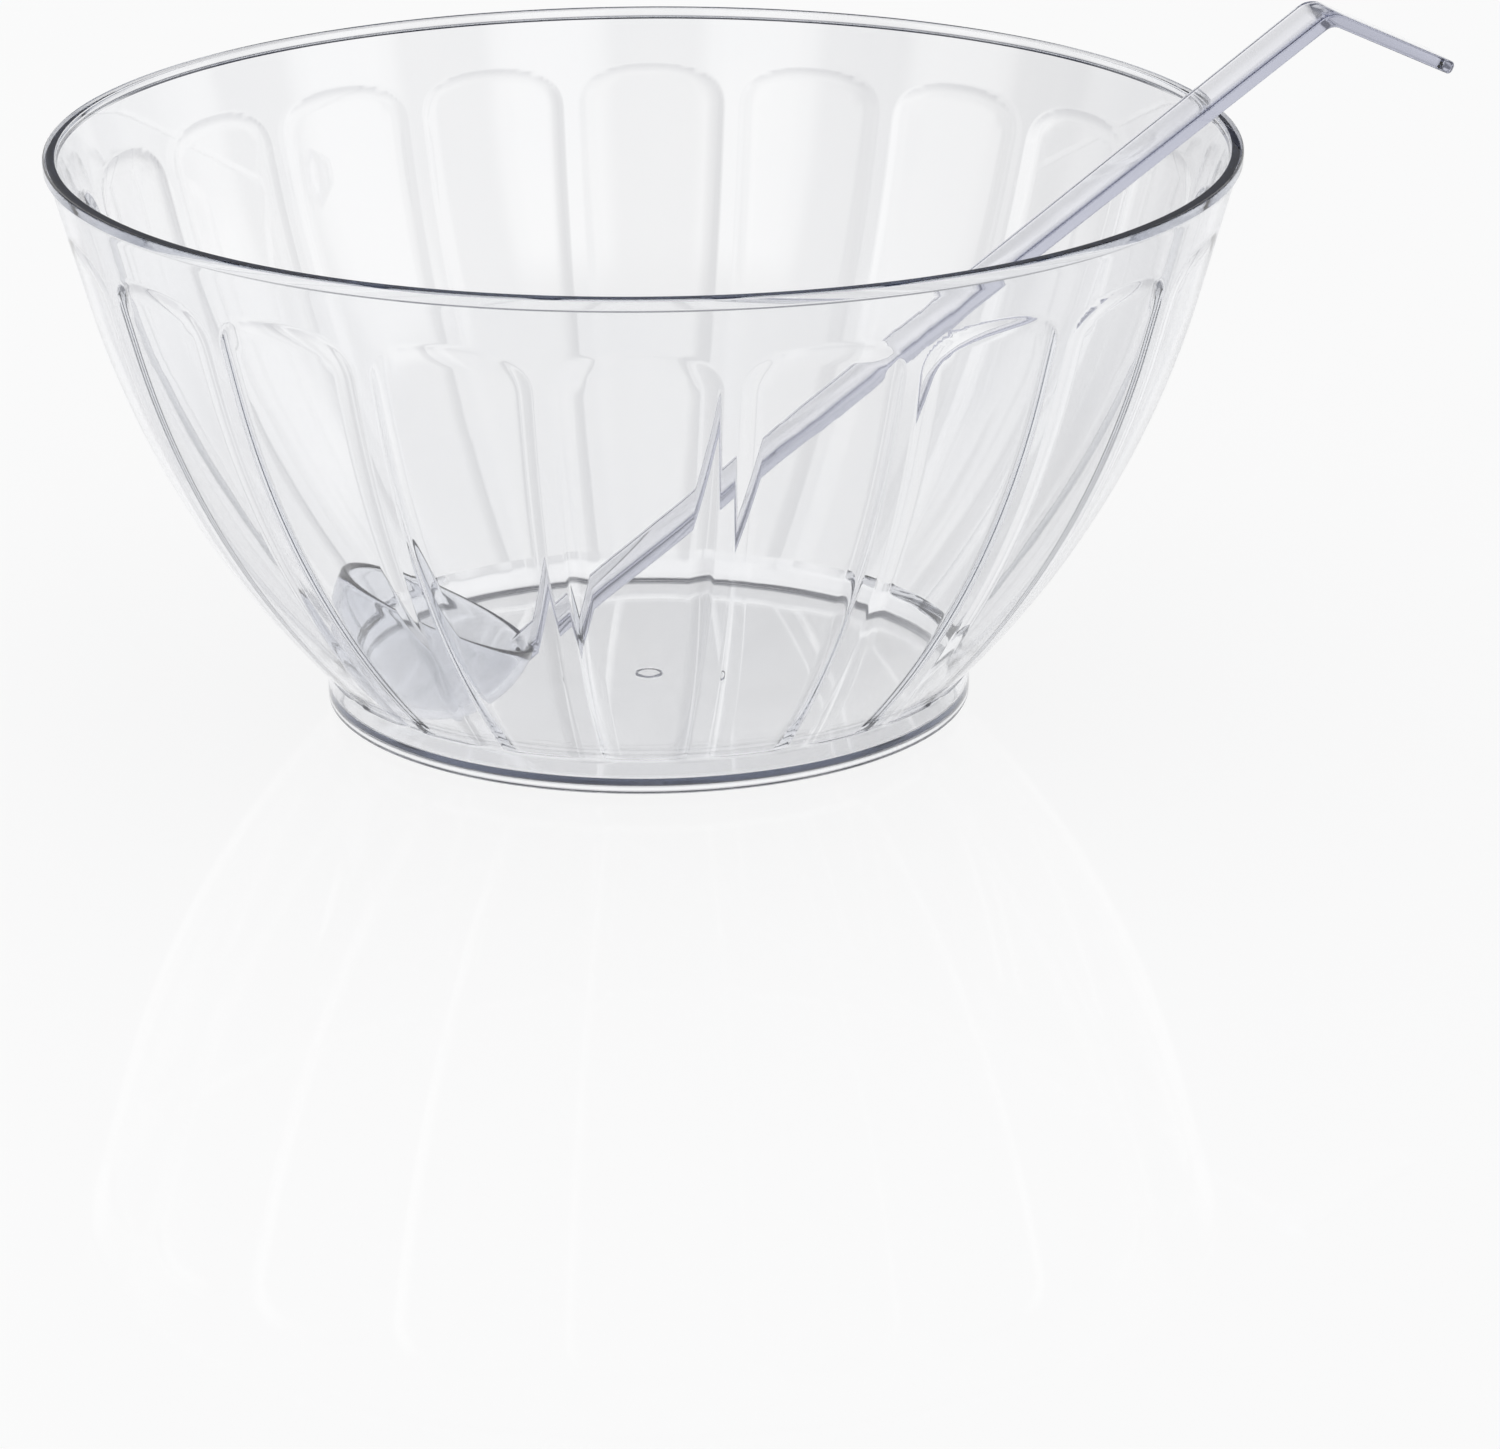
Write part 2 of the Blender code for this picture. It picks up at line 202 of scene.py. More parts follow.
bowl_low, bowl_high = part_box("bowl")
AXIS_X = (bowl_low[0] + bowl_high[0]) / 2.0


# Helpers for sections and rings

def arc(centre, radius, start, end, steps):
    """Points on an arc from angle start to angle end, in degrees from the outward direction."""
    points = []
    for i in range(steps + 1):
        angle = math.radians(start + (end - start) * i / steps)
        points.append((centre[0] + radius * math.cos(angle), centre[1] + radius * math.sin(angle)))
    return points


def spaced(start, end, count):
    """Evenly spaced values after start, up to and with end."""
    return [start + (end - start) * (i + 1) / count for i in range(count)]


def ring_faces(rows, count):
    """Faces over these rows of rings, each with this count of points, and flat ends."""
    faces = []
    for row in range(rows - 1):
        low, high = row * count, (row + 1) * count
        for i in range(count):
            j = (i + 1) % count
            faces.append((low + i, low + j, high + j, high + i))
    faces.append(tuple(reversed(range(count))))
    faces.append(tuple(range((rows - 1) * count, rows * count)))
    return faces


# Bowl: construction of the turned wall

WALL_TOP = (RIM_RADIUS - BEAD_STEP, BOWL_HEIGHT - BEAD_HEIGHT)
WALL_FOOT = (FOOT_RADIUS, FOOT_HEIGHT)
FOOT_BORE = FOOT_RADIUS - FOOT_WIDTH


def wall_arc():
    """Centre and radius of the outer arc from the foot, tangent to the straight stretch above it."""
    tangent_r = WALL_TOP[0] - (WALL_TOP[1] - WALL_STRAIGHT_FROM) * math.tan(WALL_LEAN)
    inward = (-math.cos(WALL_LEAN), math.sin(WALL_LEAN))
    chord = (WALL_FOOT[0] - tangent_r, WALL_FOOT[1] - WALL_STRAIGHT_FROM)
    along = chord[0] * inward[0] + chord[1] * inward[1]
    radius = (chord[0] ** 2 + chord[1] ** 2) / (2.0 * along)
    return (tangent_r + radius * inward[0], WALL_STRAIGHT_FROM + radius * inward[1]), radius


ARC_CENTRE, ARC_RADIUS = wall_arc()


def wall_point(height, inset):
    """Point of the wall's section at this height of the outer face, moved inwards by inset."""
    if height >= WALL_STRAIGHT_FROM:
        lean = WALL_LEAN
        outer_r = WALL_TOP[0] - (WALL_TOP[1] - height) * math.tan(WALL_LEAN)
    else:
        lean = math.asin((ARC_CENTRE[1] - height) / ARC_RADIUS)
        outer_r = ARC_CENTRE[0] + ARC_RADIUS * math.cos(lean)
    return outer_r - inset * math.cos(lean), height + inset * math.sin(lean)


def flute_foot():
    """Height on the outer arc, carried on downwards, where the panels reach the foot's bore."""
    lean = math.acos((FOOT_BORE - ARC_CENTRE[0]) / (ARC_RADIUS - PANEL_WALL))
    return ARC_CENTRE[1] - ARC_RADIUS * math.sin(lean)


def lip_centre():
    """Centre of the rim's inner round, tangent to the flat top and to the leaning inner face."""
    z = BOWL_HEIGHT - BEAD_LIP
    outer_r = WALL_TOP[0] + (z - WALL_TOP[1]) * math.tan(WALL_LEAN)
    return outer_r - (PANEL_WALL + RIB_RISE - BEAD_LIP) / math.cos(WALL_LEAN), z


FLUTES_FROM = flute_foot()
LIP_CENTRE = lip_centre()
ARCH_TOP = BOWL_HEIGHT - ARCH_DROP
ARCH_SPRING = ARCH_TOP - ARCH_RISE


# Bowl: the fluted inner face

FLANK = SHOULDER + COVE


def half_pitch(height):
    """Half the distance between the middles of two ribs, along the inner face."""
    return math.pi * wall_point(height, PANEL_WALL)[0] / FLUTES


def column_offsets(height):
    """Places of one flute's columns along the inner face, measured from the middle of its panel."""
    edge = half_pitch(height)
    sunk = edge - RIB_WIDTH / 2.0 - FLANK
    right = [share * sunk for share in PANEL_COLUMNS]
    right += [sunk + FLANK * share for share in FLANK_COLUMNS]
    left = [-offset for offset in reversed(right[1:])]
    return np.array([-edge] + left + right)


def ring_angles(height):
    """Angles of all columns round the bowl at this height."""
    offsets = column_offsets(height) / wall_point(height, PANEL_WALL)[0]
    turns = 2.0 * math.pi * np.arange(FLUTES) / FLUTES + FLUTE_TURN
    return (turns[:, None] + offsets[None, :]).ravel()


def flank_profile(depth):
    """Height of the relief this far in from the flat of a rib: round shoulder, then hollow cove."""
    slope = 2.0 * RIB_RISE / FLANK
    shoulder = RIB_RISE - slope * depth ** 2 / (2.0 * SHOULDER)
    cove = slope * np.clip(FLANK - depth, 0.0, None) ** 2 / (2.0 * COVE)
    return np.where(depth <= 0.0, RIB_RISE, np.where(depth <= SHOULDER, shoulder, cove))


def relief(angle, height):
    """How far the inner face stands proud of the panels here, from 0 to RIB_RISE."""
    pitch = 2.0 * math.pi / FLUTES
    local = (angle - FLUTE_TURN + pitch / 2.0) % pitch - pitch / 2.0
    side = np.abs(local) * wall_point(height, PANEL_WALL)[0]
    half = half_pitch(height) - RIB_WIDTH / 2.0
    if height <= ARCH_SPRING:
        return flank_profile(half - side)
    across = side / half
    up = (height - ARCH_SPRING) / ARCH_RISE
    span = (across ** ARCH_POWER + up ** ARCH_POWER) ** (1.0 / ARCH_POWER)
    lean_x = (across / span) ** (ARCH_POWER - 1.0) / half
    lean_y = (up / span) ** (ARCH_POWER - 1.0) / ARCH_RISE
    return flank_profile((1.0 - span) / np.hypot(lean_x, lean_y))


def inner_face(angle, height):
    """Points of the fluted face at these angles and this height of the outer face."""
    inset = PANEL_WALL + relief(angle, height)
    base_r, base_z = wall_point(height, 0.0)
    step_r, step_z = wall_point(height, 1.0)
    r = base_r + inset * (step_r - base_r)
    z = base_z + inset * (step_z - base_z)
    return np.stack([r * np.cos(angle), r * np.sin(angle), z], axis=1)


def inner_normals(angle, height):
    """True normals of the fluted face, pointing into the bowl."""
    round_about = inner_face(angle + NORMAL_STEP, height) - inner_face(angle - NORMAL_STEP, height)
    upwards = inner_face(angle, height + NORMAL_STEP) - inner_face(angle, height - NORMAL_STEP)
    normal = np.cross(upwards, round_about)
    return normal / np.linalg.norm(normal, axis=1)[:, None]


def flute_heights():
    """Heights of the rings down the fluted face, close together where the arches are."""
    arch_from = ARCH_TOP + RING_GAP
    band = spaced(BOWL_HEIGHT - BEAD_HEIGHT, arch_from, BAND_RINGS)
    arches = spaced(arch_from, ARCH_SPRING, ARCH_RINGS)
    sides = spaced(ARCH_SPRING, FLUTES_FROM, SIDE_RINGS)
    return band + arches + sides


# Bowl: the plain faces, and the whole mesh

# Section of the gate mark inwards, as shares of its radius and of its rise
GATE_OUTLINE = (
    (1.10, 0.0), (1.06, 0.0), (1.03, 0.2), (0.98, 0.8), (0.94, 1.0), (0.90, 0.8), (0.85, 0.4),
    (0.81, 0.3), (0.77, 0.3), (0.1, 0.3),
)


def bowl_outline():
    """Section from under the floor to the inside of the bead, with the height of each ring's columns."""
    under = FLOOR_HEIGHT - FLOOR_WALL
    bead_bottom = BOWL_HEIGHT - BEAD_HEIGHT
    foot = [(FOOT_BORE * share, under) for share in UNDER_SHARES]
    foot += arc((FOOT_BORE - UNDER_FILLET, under - UNDER_FILLET), UNDER_FILLET, 90, 0, steps=4)
    foot += arc((FOOT_BORE + FOOT_ROUND, FOOT_ROUND), FOOT_ROUND, 180, 270, steps=5)
    foot += arc((FOOT_RADIUS - FOOT_ROUND, FOOT_ROUND), FOOT_ROUND, 270, 360, steps=6)
    foot.append((FOOT_RADIUS, FOOT_HEIGHT - FOOT_ROUND))
    outline = [(r, z, FOOT_HEIGHT) for r, z in foot]
    for height in [FOOT_HEIGHT] + spaced(FOOT_HEIGHT, WALL_TOP[1] - RING_GAP, WALL_RINGS):
        r, z = wall_point(height, 0.0)
        outline.append((r, z, height))
    edge_centre = (RIM_RADIUS - BEAD_EDGE, bead_bottom + BEAD_EDGE)
    bead = arc(edge_centre, BEAD_EDGE, BEAD_EDGE_FROM, 0, steps=4)
    bead += arc((RIM_RADIUS - BEAD_ROUND, BOWL_HEIGHT - BEAD_ROUND), BEAD_ROUND, 0, 90, steps=10)
    bead += arc(LIP_CENTRE, BEAD_LIP, 90, 180 - math.degrees(WALL_LEAN), steps=8)
    return outline + [(r, z, BOWL_HEIGHT) for r, z in bead]


def floor_outline():
    """Section of the inside from the foot's bore, where the ribs run out, to the gate mark."""
    floor_r = FOOT_BORE - FLOOR_FILLET
    fillet_z = FLOOR_HEIGHT + FLOOR_FILLET
    top = wall_point(FLUTES_FROM, PANEL_WALL)[1] - RIB_RUNOUT
    floor = [(FOOT_BORE, z) for z in (top, top - RUNOUT_STEP, fillet_z + RING_GAP)]
    floor += arc((floor_r, fillet_z), FLOOR_FILLET, 0, -90, steps=7)
    floor += [(floor_r * share, FLOOR_HEIGHT) for share in FLOOR_SHARES]
    for share, rise in GATE_OUTLINE:
        floor.append((GATE_RADIUS * share, FLOOR_HEIGHT + GATE_RISE * rise))
    return floor


def turned_ring(r, z, height):
    """A level ring of this radius, with its columns where the flutes have theirs at this height."""
    angle = ring_angles(height)
    return np.stack([r * np.cos(angle), r * np.sin(angle), np.full_like(angle, z)], axis=1)


def bowl_mesh():
    """The whole bowl as one closed mesh, with true normals on the fluted face."""
    rings = [turned_ring(*row) for row in bowl_outline()]
    normals = [np.zeros_like(ring) for ring in rings]
    for height in flute_heights():
        angle = ring_angles(height)
        rings.append(inner_face(angle, height))
        normals.append(inner_normals(angle, height))
    for r, z in floor_outline():
        rings.append(turned_ring(r, z, FLUTES_FROM))
        normals.append(np.zeros_like(rings[-1]))
    points = np.concatenate(rings)
    points[:, 0] += AXIS_X
    mesh = bpy.data.meshes.new("bowl_moulding")
    mesh.from_pydata(points.tolist(), [], ring_faces(len(rings), len(rings[0])))
    mesh.shade_smooth()
    mesh.set_sharp_from_angle(angle=BOWL_SHARP)
    corners = np.empty(len(mesh.loops), dtype=np.int32)
    mesh.loops.foreach_get("vertex_index", corners)
    mesh.normals_split_custom_set(np.concatenate(normals)[corners])
    return mesh


# Ladle: pose at rest, and the length of handle that reaches the rim from there

ROOT_REACH = CUP_RADIUS - CUP_WALL / 2.0


def ladle_pose():
    """Cup's centre from the bowl's axis, tilt that lays the handle on the rim, and length to there."""
    height = FLOOR_HEIGHT + SEAT_GAP + CUP_RADIUS
    clear = ARC_RADIUS - PANEL_WALL - RIB_RISE - SEAT_GAP - CUP_RADIUS
    radius = ARC_CENTRE[0] + math.sqrt(clear ** 2 - (ARC_CENTRE[1] - height) ** 2)
    along = -math.sqrt(radius ** 2 - LADLE_OFFSET ** 2)
    edge = abs(LADLE_OFFSET) + HANDLE_TOP_WIDTH / 2.0
    run = math.sqrt(LIP_CENTRE[0] ** 2 - edge ** 2) - along
    climb = LIP_CENTRE[1] - height
    underside = -ROOT_REACH * math.sin(HANDLE_RISE) - HANDLE_THICKNESS / 2.0
    reach = underside - BEAD_LIP - SEAT_GAP
    span = math.hypot(run, climb)
    slope = math.acos(reach / span) - math.atan2(run, climb)
    to_rim = math.sqrt(span ** 2 - reach ** 2) - ROOT_REACH * math.cos(HANDLE_RISE)
    return along, height, HANDLE_RISE - slope, to_rim


CUP_ALONG, CUP_HEIGHT, LADLE_TILT, HANDLE_TO_RIM = ladle_pose()
HANDLE_LENGTH = HANDLE_TO_RIM + HANDLE_PAST_RIM


# Ladle: construction in its own frame, with the cup's centre at the origin and its mouth level

# Section of the gate mark outwards, as shares of its radius and of its rise
PIP_OUTLINE = ((1.0, -1.0), (1.0, 0.5), (0.93, 0.85), (0.8, 1.0))


def cup_rings():
    """Rings of the round cup, from the bottom outside over the lip to the bottom inside."""
    inner = CUP_RADIUS - CUP_WALL
    outline = arc((0.0, 0.0), CUP_RADIUS, CUP_BOTTOM, 0, CUP_ROWS)
    outline += arc((CUP_RADIUS - CUP_LIP, CUP_LIP), CUP_LIP, 0, 90, CUP_LIP_ROWS)[1:]
    outline += arc((inner + CUP_LIP, CUP_LIP), CUP_LIP, 90, 180, CUP_LIP_ROWS)
    outline += arc((0.0, 0.0), inner, 0, CUP_BOTTOM, CUP_ROWS)[1:]
    rings = []
    for r, z in outline:
        ring = []
        for i in range(CUP_SEGMENTS):
            angle = 2.0 * math.pi * (i + 0.5) / CUP_SEGMENTS
            ring.append((r * math.cos(angle), r * math.sin(angle), z))
        rings.append(ring)
    return rings


def bar_section(width, thickness, edge):
    """Outline of the flat bar across its length, as (sideways, upwards) points with rounded edges."""
    side = width / 2.0 - edge
    up = thickness / 2.0 - edge
    corners = ((side, -up, -90), (side, up, 0), (-side, up, 90), (-side, -up, 180))
    outline = []
    for corner_x, corner_y, start in corners:
        outline += arc((corner_x, corner_y), edge, start, start + 90, steps=7)
    return outline


def handle_width(along):
    """Width of the bar at this distance from the cup."""
    share = min(1.0, max(0.0, along / HANDLE_LENGTH))
    return HANDLE_ROOT_WIDTH + (HANDLE_TOP_WIDTH - HANDLE_ROOT_WIDTH) * share


def bar_ring(x, z, slope, width, thickness):
    """One ring of the bar round the point (x, z), where the bar runs at this slope."""
    edge = min(HANDLE_EDGE, thickness * HANDLE_EDGE_SHARE)
    ring = []
    for sideways, upwards in bar_section(width, thickness, edge):
        ring.append((x - upwards * math.sin(slope), sideways, z + upwards * math.cos(slope)))
    return ring


def handle_rings():
    """Rings of the handle from the root inside the cup, round the bend to the hook's tip."""
    rise = (math.cos(HANDLE_RISE), math.sin(HANDLE_RISE))
    trim = BEND_RADIUS * math.tan(HANDLE_RISE / 2.0)
    corner = (ROOT_REACH + HANDLE_LENGTH * rise[0], HANDLE_LENGTH * rise[1])
    rings = []
    for share in ROOT_SHARES:
        along = ROOT_ROUND * (1.0 - math.sqrt(1.0 - share ** 2)) - ROOT_OVERLAP
        point = (ROOT_REACH + along * rise[0], along * rise[1])
        rings.append(bar_ring(*point, HANDLE_RISE, HANDLE_ROOT_WIDTH * share, HANDLE_THICKNESS))
    for along in spaced(0.0, HANDLE_LENGTH - trim, HANDLE_RINGS):
        point = (ROOT_REACH + along * rise[0], along * rise[1])
        rings.append(bar_ring(*point, HANDLE_RISE, handle_width(along), HANDLE_THICKNESS))
    bend = (corner[0] + trim, corner[1] - BEND_RADIUS)
    for share in spaced(0.0, 1.0, BEND_RINGS):
        slope = HANDLE_RISE * (1.0 - share)
        point = (bend[0] - BEND_RADIUS * math.sin(slope), bend[1] + BEND_RADIUS * math.cos(slope))
        rings.append(bar_ring(*point, slope, HANDLE_TOP_WIDTH, HANDLE_THICKNESS))
    for turn in spaced(*HOOK_TIP_TURNS, TIP_RINGS):
        angle = math.radians(max(0.0, turn))
        reach = corner[0] + HOOK_LENGTH - HOOK_TIP_ROUND * (1.0 - math.sin(angle))
        less = 2.0 * HOOK_TIP_ROUND * (1.0 - math.cos(angle))
        rings.append(bar_ring(reach, corner[1], 0.0, HANDLE_TOP_WIDTH - less, HANDLE_THICKNESS - less))
    return rings


def pip_rings():
    """Rings of the round gate mark on the near side of the handle's root."""
    side = -HANDLE_ROOT_WIDTH / 2.0
    centre = (ROOT_REACH + PIP_HEIGHT * math.cos(HANDLE_RISE), PIP_HEIGHT)
    rings = []
    for share, rise in PIP_OUTLINE:
        ring = []
        for i in range(PIP_SIDES):
            angle = 2.0 * math.pi * i / PIP_SIDES
            x = centre[0] + PIP_RADIUS * share * math.cos(angle)
            z = centre[1] + PIP_RADIUS * share * math.sin(angle)
            ring.append((x, side - PIP_RISE * rise, z))
        rings.append(ring)
    return rings


def ring_object(name, rings):
    """A mesh object skinned over rings of equal count, with flat ends."""
    points = [point for ring in rings for point in ring]
    mesh = bpy.data.meshes.new(name)
    mesh.from_pydata(points, [], ring_faces(len(rings), len(rings[0])))
    made = bpy.data.objects.new(name, mesh)
    bpy.context.scene.collection.objects.link(made)
    return made


def ladle_mesh():
    """Cup, handle and gate mark fused into one closed mesh, in the ladle's own frame."""
    cup = ring_object("cup_form", cup_rings())
    helpers = [ring_object("bar_form", handle_rings()), ring_object("pip_form", pip_rings())]
    for helper in helpers:
        union = cup.modifiers.new("join", "BOOLEAN")
        union.operation = "UNION"
        union.object = helper
    bpy.context.view_layer.update()
    fused = cup.evaluated_get(bpy.context.evaluated_depsgraph_get())
    mesh = bpy.data.meshes.new_from_object(fused)
    for form in [cup] + helpers:
        bpy.data.objects.remove(form, do_unlink=True)
    mesh.name = "ladle_moulding"
    mesh.shade_smooth()
    mesh.set_sharp_from_angle(angle=LADLE_SHARP)
    return mesh


def ladle_matrix():
    """Where the ladle lies: cup on the floor and against the wall, handle on the rim."""
    heading = Vector((math.cos(LADLE_AZIMUTH), math.sin(LADLE_AZIMUTH), 0.0))
    beside = Vector((-heading.y, heading.x, 0.0))
    place = Vector((AXIS_X, 0.0, CUP_HEIGHT)) + heading * CUP_ALONG + beside * LADLE_OFFSET
    turn = Euler((0.0, LADLE_TILT, LADLE_AZIMUTH)).to_matrix().to_4x4()
    return Matrix.Translation(place) @ turn


# Helpers for materials and light

# Places of the share, the two values and the result among a mix node's sockets
MIX_SOCKETS = {"FLOAT": (0, 2, 3, 0), "RGBA": (0, 6, 7, 2)}


def feed(tree, socket, value):
    """Link another socket to this one, or set a plain value on it."""
    if isinstance(value, bpy.types.NodeSocket):
        tree.links.new(value, socket)
    elif value is not None:
        socket.default_value = value


def add_math(tree, operation, first, second=None, third=None):
    """A math node fed by sockets or plain values."""
    node = tree.nodes.new("ShaderNodeMath")
    node.operation = operation
    for socket, value in zip(node.inputs, (first, second, third)):
        feed(tree, socket, value)
    return node.outputs["Value"]


def add_mix(tree, kind, share, first, second, blend="MIX"):
    """A mix node for plain values or colours, fed by sockets or plain values."""
    node = tree.nodes.new("ShaderNodeMix")
    node.data_type = kind
    node.blend_type = blend
    *places, result = MIX_SOCKETS[kind]
    for place, value in zip(places, (share, first, second)):
        feed(tree, node.inputs[place], value)
    return node.outputs[result]


def add_shader_mix(tree, share, first, second):
    """A shader mix node; the share is a socket or a plain value."""
    node = tree.nodes.new("ShaderNodeMixShader")
    feed(tree, node.inputs[0], share)
    tree.links.new(first.outputs[0], node.inputs[1])
    tree.links.new(second.outputs[0], node.inputs[2])
    return node


def add_ramp(tree, value, stops):
    """A soft colour ramp through (place, colour) stops."""
    node = tree.nodes.new("ShaderNodeValToRGB")
    ramp = node.color_ramp
    ramp.interpolation = "EASE"
    while len(ramp.elements) < len(stops):
        ramp.elements.new(0.5)
    for element, (place, colour) in zip(ramp.elements, stops):
        element.position = place
        element.color = (*colour, 1.0)
    tree.links.new(value, node.inputs["Fac"])
    return node.outputs["Color"]


def add_noise(tree, place, scale, detail):
    """A noise texture of this scale and detail."""
    node = tree.nodes.new("ShaderNodeTexNoise")
    node.inputs["Scale"].default_value = scale
    node.inputs["Detail"].default_value = detail
    tree.links.new(place, node.inputs["Vector"])
    return node.outputs["Fac"]


# Materials

def clear_plastic(name, tint, density):
    """Clear moulding: faint streaks in colour and gloss, slight waviness, tint that grows with depth."""
    material = bpy.data.materials.new(name)
    material.use_nodes = True
    tree = material.node_tree
    shader = tree.nodes["Principled BSDF"]
    shader.inputs["IOR"].default_value = PLASTIC_IOR
    shader.inputs["Transmission Weight"].default_value = 1.0
    place = tree.nodes.new("ShaderNodeTexCoord").outputs["Object"]
    bump = tree.nodes.new("ShaderNodeBump")
    bump.inputs["Strength"].default_value = 1.0
    bump.inputs["Distance"].default_value = WAVE_DEPTH
    tree.links.new(add_noise(tree, place, WAVE_SCALE, WAVE_DETAIL), bump.inputs["Height"])
    tree.links.new(bump.outputs["Normal"], shader.inputs["Normal"])
    streaks = add_noise(tree, place, STREAK_SCALE, STREAK_DETAIL)
    colour = tree.nodes.new("ShaderNodeValToRGB")
    shades = zip(colour.color_ramp.elements, STREAK_SPAN, (STREAK_TINT, WHITE))
    for element, position, shade in shades:
        element.position = position
        element.color = shade
    tree.links.new(streaks, colour.inputs["Fac"])
    tree.links.new(colour.outputs["Color"], shader.inputs["Base Color"])
    gloss = tree.nodes.new("ShaderNodeMapRange")
    gloss.inputs["To Min"].default_value = GLOSS_SPAN[0]
    gloss.inputs["To Max"].default_value = GLOSS_SPAN[1]
    tree.links.new(streaks, gloss.inputs["Value"])
    tree.links.new(gloss.outputs["Result"], shader.inputs["Roughness"])
    depth = tree.nodes.new("ShaderNodeVolumeAbsorption")
    depth.inputs["Color"].default_value = tint
    depth.inputs["Density"].default_value = density
    tree.links.new(depth.outputs["Volume"], tree.nodes["Material Output"].inputs["Volume"])
    return material


def add_cup_painted_shade_and_haze(material, centre, radius):
    """Painted shade on the ladle's cup: a greyer base colour within this radius of a point, with
    rougher, less polished plastic there too, both running out just past it.
    """
    tree = material.node_tree
    shader = tree.nodes["Principled BSDF"]
    place = tree.nodes.new("ShaderNodeTexCoord").outputs["Object"]
    away = tree.nodes.new("ShaderNodeVectorMath")
    away.operation = "DISTANCE"
    away.inputs[1].default_value = centre
    tree.links.new(place, away.inputs[0])
    fade = tree.nodes.new("ShaderNodeMapRange")
    fade.inputs["From Min"].default_value = radius * SHADE_AND_HAZE_FULL
    fade.inputs["From Max"].default_value = radius * SHADE_AND_HAZE_GONE
    fade.inputs["To Min"].default_value = 1.0
    fade.inputs["To Max"].default_value = 0.0
    tree.links.new(away.outputs["Value"], fade.inputs["Value"])
    share = fade.outputs["Result"]
    # Painted shade in the base colour, and a real rougher surface, near the cup
    for name, kind, painted_shade_and_haze in (("Base Color", "RGBA", CUP_PAINTED_SHADE_TINT), ("Roughness", "FLOAT", HAZE_ROUGHNESS)):
        clear = shader.inputs[name].links[0].from_socket
        tree.links.new(add_mix(tree, kind, share, clear, painted_shade_and_haze), shader.inputs[name])


def floor_material():
    """Pale floor with a soft shadow and a faint gloss, which the clear plastic looks through."""
    material = bpy.data.materials.new("floor_white")
    material.use_nodes = True
    tree = material.node_tree
    tree.nodes.remove(tree.nodes["Principled BSDF"])
    plain = tree.nodes.new("ShaderNodeEmission")
    plain.inputs["Color"].default_value = WHITE
    matt = tree.nodes.new("ShaderNodeBsdfDiffuse")
    matt.inputs["Color"].default_value = WHITE
    mirror = tree.nodes.new("ShaderNodeBsdfGlossy")
    mirror.inputs["Roughness"].default_value = FLOOR_ROUGHNESS
    clear = tree.nodes.new("ShaderNodeBsdfTransparent")
    path = tree.nodes.new("ShaderNodeLightPath")
    shaded = add_shader_mix(tree, FLOOR_SHADE, plain, matt)
    glossy = add_shader_mix(tree, FLOOR_GLOSS, shaded, mirror)
    both = add_shader_mix(tree, path.outputs["Is Transmission Ray"], glossy, clear)
    tree.links.new(both.outputs[0], tree.nodes["Material Output"].inputs["Surface"])
    return material


# Stage

def add_wave(tree, azimuth, turn):
    """A value between 0 and 1 that rises and falls WINDOWS times round the horizon."""
    angle = add_math(tree, "MULTIPLY", add_math(tree, "SUBTRACT", azimuth, turn), WINDOWS)
    return add_math(tree, "MULTIPLY_ADD", add_math(tree, "SINE", angle), 0.5, 0.5)


def studio_world():
    """White for the camera; for the clear plastic a pale surround, soft windows and a dim ceiling."""
    world = bpy.data.worlds.new("studio")
    world.use_nodes = True
    tree = world.node_tree
    way = tree.nodes.new("ShaderNodeTexCoord")
    split = tree.nodes.new("ShaderNodeSeparateXYZ")
    tree.links.new(way.outputs["Generated"], split.inputs["Vector"])
    height = add_math(tree, "MULTIPLY_ADD", split.outputs["Z"], 0.5, 0.5)
    azimuth = add_math(tree, "ARCTAN2", split.outputs["X"], split.outputs["Y"])
    surround = add_ramp(tree, height, SURROUND)
    share = add_ramp(tree, add_wave(tree, azimuth, 0.0), SURROUND_SHARE)
    uneven = add_mix(tree, "RGBA", 1.0, surround, share, "MULTIPLY")
    window = add_ramp(tree, add_wave(tree, azimuth, WINDOW_TURN), WINDOW_LIGHT)
    band = add_ramp(tree, height, WINDOW_BAND)
    studio = add_mix(tree, "RGBA", band, uneven, window)
    path = tree.nodes.new("ShaderNodeLightPath")
    plain = add_math(tree, "MAXIMUM", path.outputs["Is Camera Ray"], path.outputs["Is Diffuse Ray"])
    seen = add_mix(tree, "RGBA", plain, studio, WHITE)
    tree.links.new(seen, tree.nodes["Background"].inputs["Color"])
    bpy.context.scene.world = world


def add_floor():
    """A wide pale disc under the bowl."""
    angles = [2.0 * math.pi * i / FLOOR_SIDES for i in range(FLOOR_SIDES)]
    rim = [(FLOOR_RADIUS * math.cos(angle), FLOOR_RADIUS * math.sin(angle), 0.0) for angle in angles]
    mesh = bpy.data.meshes.new("studio_floor")
    mesh.from_pydata(rim, [], [tuple(range(FLOOR_SIDES))])
    floor = bpy.data.objects.new("studio_floor", mesh)
    floor.location = (AXIS_X, 0.0, -FLOOR_GAP)
    mesh.materials.append(floor_material())
    bpy.context.scene.collection.objects.link(floor)


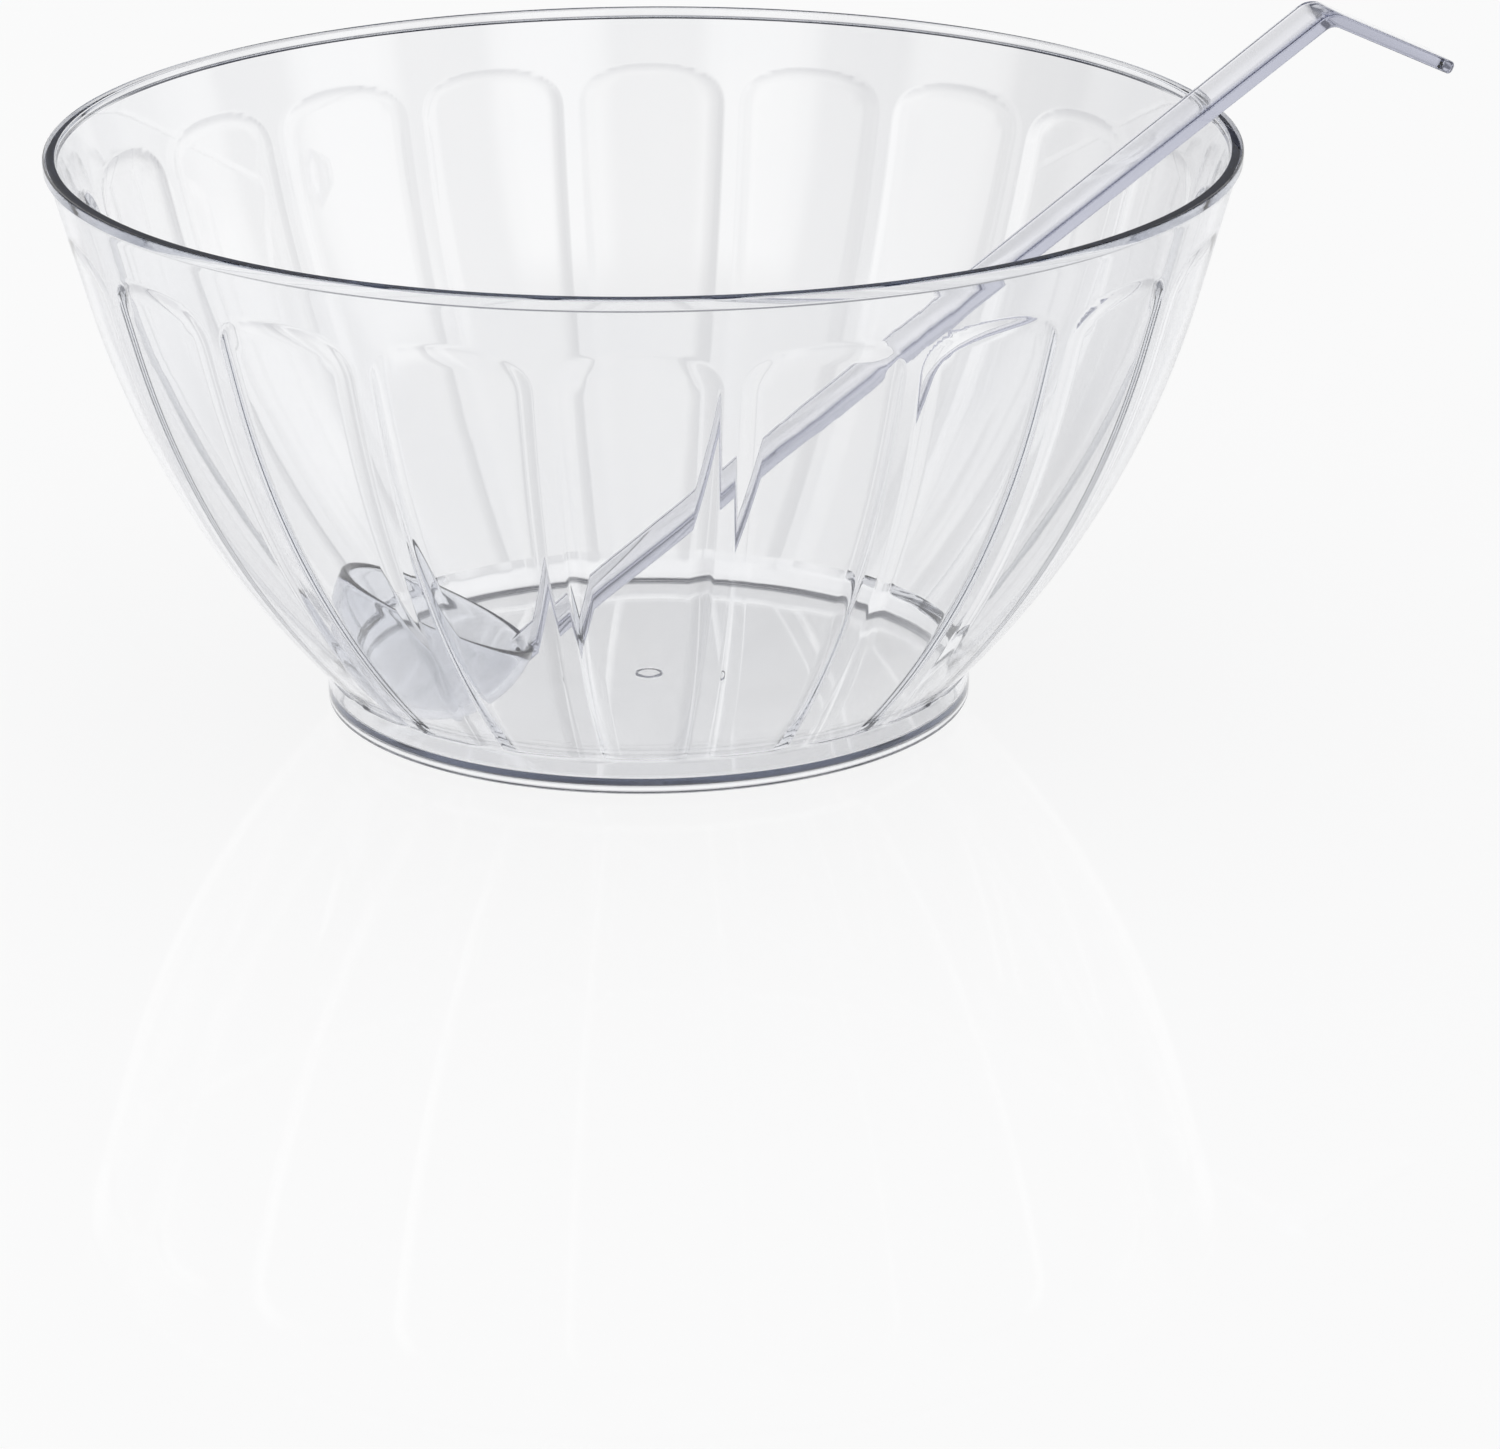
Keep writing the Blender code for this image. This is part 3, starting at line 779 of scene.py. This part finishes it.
def add_camera():
    """The photographed view: long lens, from the front and above, bowl high and left in the frame."""
    pivot = Vector((AXIS_X, 0.0, PIVOT_HEIGHT))
    back = Vector((0.0, -math.cos(CAMERA_ELEVATION), math.sin(CAMERA_ELEVATION)))
    lens = bpy.data.cameras.new("camera")
    lens.sensor_width = SENSOR
    lens.lens = SENSOR * FOCAL_PIXELS / FRAME_WIDTH
    lens.clip_start = CLIP_START
    turn_right = math.atan((FRAME_WIDTH / 2.0 - PIVOT_PIXEL[0]) / FOCAL_PIXELS)
    turn_down = math.atan((FRAME_HEIGHT / 2.0 - PIVOT_PIXEL[1]) / FOCAL_PIXELS)
    facing = (-back).to_track_quat("-Z", "Y").to_matrix()
    facing = facing @ Matrix.Rotation(-turn_right, 3, "Y") @ Matrix.Rotation(-turn_down, 3, "X")
    facing = facing @ Matrix.Rotation(CAMERA_ROLL, 3, "Z")
    camera = bpy.data.objects.new("camera", lens)
    camera.matrix_world = Matrix.Translation(pivot + back * CAMERA_DISTANCE) @ facing.to_4x4()
    bpy.context.scene.collection.objects.link(camera)
    bpy.context.scene.camera = camera


# Assembly

def add_piece(name, mesh, material, node):
    """A visible piece that stands for a solid node and moves with its body."""
    mesh.materials.clear()
    mesh.materials.append(material)
    piece = bpy.data.objects.new(name, mesh)
    bpy.context.scene.collection.objects.link(piece)
    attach(piece, node)
    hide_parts(node)


bowl_clear = clear_plastic("bowl clear", BOWL_TINT, BOWL_DENSITY)
ladle_clear = clear_plastic("ladle clear", LADLE_TINT, LADLE_DENSITY)
# Painted shade: the cup is made greyer than the handle in colour, and it is also given a rougher surface
add_cup_painted_shade_and_haze(ladle_clear, ladle_matrix().translation, CUP_RADIUS)
add_piece("bowl_moulding", bowl_mesh(), bowl_clear, "bowl")
ladle = ladle_mesh()
ladle.transform(ladle_matrix())
add_piece("ladle_moulding", ladle, ladle_clear, "ladle")

studio_world()
add_floor()
add_camera()

scene = bpy.context.scene
scene.view_settings.view_transform = "Standard"
scene.cycles.max_bounces = 64
scene.cycles.transmission_bounces = 32
scene.cycles.glossy_bounces = 64
scene.cycles.transparent_max_bounces = 24
